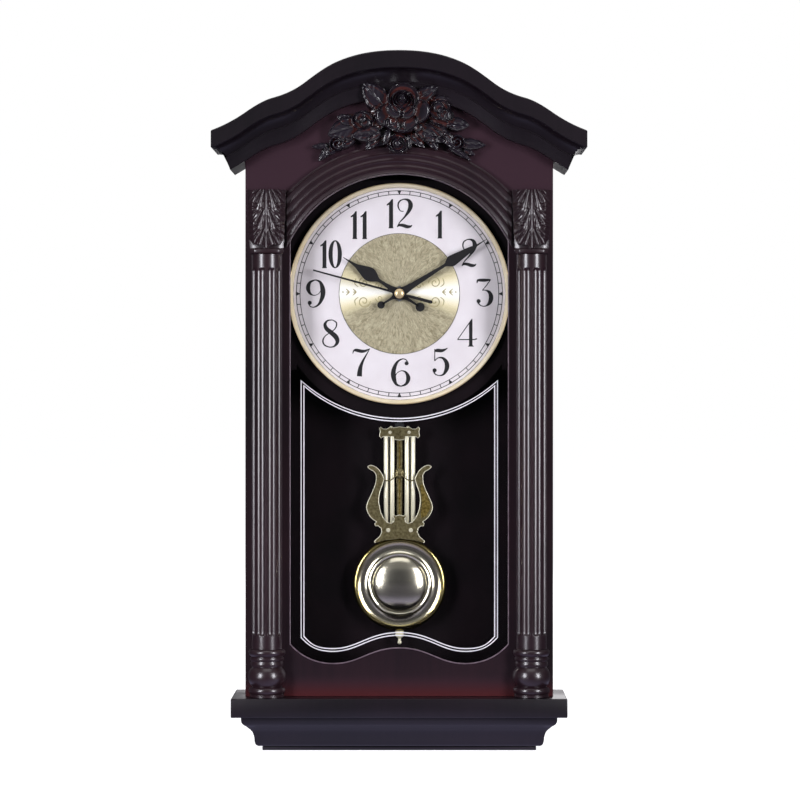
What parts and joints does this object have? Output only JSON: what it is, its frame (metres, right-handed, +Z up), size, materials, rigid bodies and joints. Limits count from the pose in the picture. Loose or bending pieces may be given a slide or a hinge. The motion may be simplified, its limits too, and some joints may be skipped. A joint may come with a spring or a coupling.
{
  "type": "wall clock",
  "caption": "Pendulum wall clock: dark wooden case with shaped crown, carved rose, fluted columns, arched glazed window, round dial with three hands and a swinging lyre pendulum.",
  "frame": {"origin": "top of the keyhole on the back that the clock hangs from, in the plane of the wall", "axes": "+X to the viewer's right, +Z up, -Y out of the wall towards the viewer; the wall is the plane Y = 0"},
  "size_m": [0.324, 0.0948, 0.6058],
  "materials": {
    "lacquered_wood": "near-black mahogany stain under a satin lacquer",
    "bare_board": "unfinished hardboard",
    "clear_glass": "clear, with a painted black border and silver lines",
    "black_plastic": "moulded black",
    "white_dial": "matt white",
    "gilt_metal": "champagne gilt, embossed",
    "white_plastic": "moulded off-white",
    "pendulum_brass": "polished pale brass",
    "circuit_green": "solder mask",
    "copper_wire": "enamelled winding",
    "bright_steel": "bright zinc",
    "battery_sleeve": "plain printed sleeve",
    "black_enamel": "satin black"
  },
  "bodies": {
    "case": {"left_side_panel": "lacquered_wood", "right_side_panel": "lacquered_wood", "back_panel": "bare_board", "crown_back_board": "bare_board", "roof_board": "bare_board", "front_frame": "lacquered_wood", "window_glass": "clear_glass", "glass_strip_left": "black_plastic", "glass_strip_right": "black_plastic", "crown_front": "lacquered_wood", "roof_skin": "lacquered_wood", "crown_return_right": "lacquered_wood", "crown_return_left": "lacquered_wood", "plinth_board": "lacquered_wood", "base_moulding": "lacquered_wood", "foot_board": "lacquered_wood", "arch_moulding": "lacquered_wood", "column_shaft_left": "lacquered_wood", "column_base_left": "lacquered_wood", "capital_left": "lacquered_wood", "column_shaft_right": "lacquered_wood", "column_base_right": "lacquered_wood", "capital_right": "lacquered_wood", "rose_carving": "lacquered_wood", "dial_board": "black_plastic", "dial_face": "white_dial", "dial_centre_disc": "gilt_metal", "dial_bezel": "gilt_metal", "movement_housing": "black_plastic", "movement_rear_cover": "white_plastic", "bushing_nut": "pendulum_brass", "circuit_board": "circuit_green", "motor_coil": "copper_wire", "pendulum_coil": "copper_wire", "battery": "battery_sleeve", "battery_contact_plus": "bright_steel", "battery_contact_minus": "bright_steel", "pendulum_pivot_pin": "bright_steel", "hanger_plate": "bright_steel"},
    "second_hand_arbor": {"second_hand": "black_enamel", "hand_cap": "pendulum_brass", "second_wheel": "white_plastic"},
    "minute_hand_arbor": {"minute_hand": "black_enamel", "minute_wheel": "white_plastic"},
    "hour_hand_arbor": {"hour_hand": "black_enamel", "hour_wheel": "white_plastic"},
    "rotor_arbor": {"rotor": "bright_steel"},
    "idler_arbor": {"idler_wheel": "white_plastic"},
    "third_arbor": {"third_wheel": "white_plastic"},
    "setting_arbor": {"motion_wheel": "white_plastic", "setting_knob": "black_plastic"},
    "pendulum": {"pendulum_hanger": "black_plastic", "pendulum_magnet": "bright_steel", "pendulum_grille": "pendulum_brass", "pendulum_lyre": "pendulum_brass", "pendulum_rosette": "pendulum_brass", "bob_front_shell": "pendulum_brass", "bob_back_plate": "pendulum_brass", "rating_nut": "pendulum_brass"}
  },
  "joints": [
    {"name": "second_hand_turn", "type": "hinge", "parent": "case", "child": "second_hand_arbor", "pos_m": [0, -0.045, -0.1335], "axis": [0, 1, 0], "continuous": true},
    {"name": "minute_hand_turn", "type": "hinge", "parent": "case", "child": "minute_hand_arbor", "pos_m": [0, -0.045, -0.1335], "axis": [0, 1, 0], "continuous": true},
    {"name": "hour_hand_turn", "type": "hinge", "parent": "case", "child": "hour_hand_arbor", "pos_m": [0, -0.045, -0.1335], "axis": [0, 1, 0], "continuous": true},
    {"name": "rotor_turn", "type": "hinge", "parent": "case", "child": "rotor_arbor", "pos_m": [-0.0175, -0.028, -0.1253], "axis": [0, 1, 0], "continuous": true},
    {"name": "idler_turn", "type": "hinge", "parent": "case", "child": "idler_arbor", "pos_m": [-0.0105, -0.028, -0.1335], "axis": [0, 1, 0], "continuous": true},
    {"name": "third_wheel_turn", "type": "hinge", "parent": "case", "child": "third_arbor", "pos_m": [0, -0.028, -0.1233], "axis": [0, 1, 0], "continuous": true},
    {"name": "setting_knob_turn", "type": "hinge", "parent": "case", "child": "setting_arbor", "pos_m": [0.0115, -0.028, -0.1335], "axis": [0, 1, 0], "continuous": true},
    {"name": "pendulum_swing", "type": "hinge", "parent": "case", "child": "pendulum", "pos_m": [0, -0.017, -0.152], "axis": [0, 1, 0], "range_deg": [-7, 7]}
  ],
  "couplings": [
    {"joint": "minute_hand_turn", "follows": "second_hand_turn", "ratio": 0.016667},
    {"joint": "hour_hand_turn", "follows": "second_hand_turn", "ratio": 0.0013889},
    {"joint": "rotor_turn", "follows": "second_hand_turn", "ratio": 30},
    {"joint": "idler_turn", "follows": "second_hand_turn", "ratio": -6},
    {"joint": "third_wheel_turn", "follows": "second_hand_turn", "ratio": -0.13333},
    {"joint": "setting_knob_turn", "follows": "second_hand_turn", "ratio": -0.0055556}
  ]
}
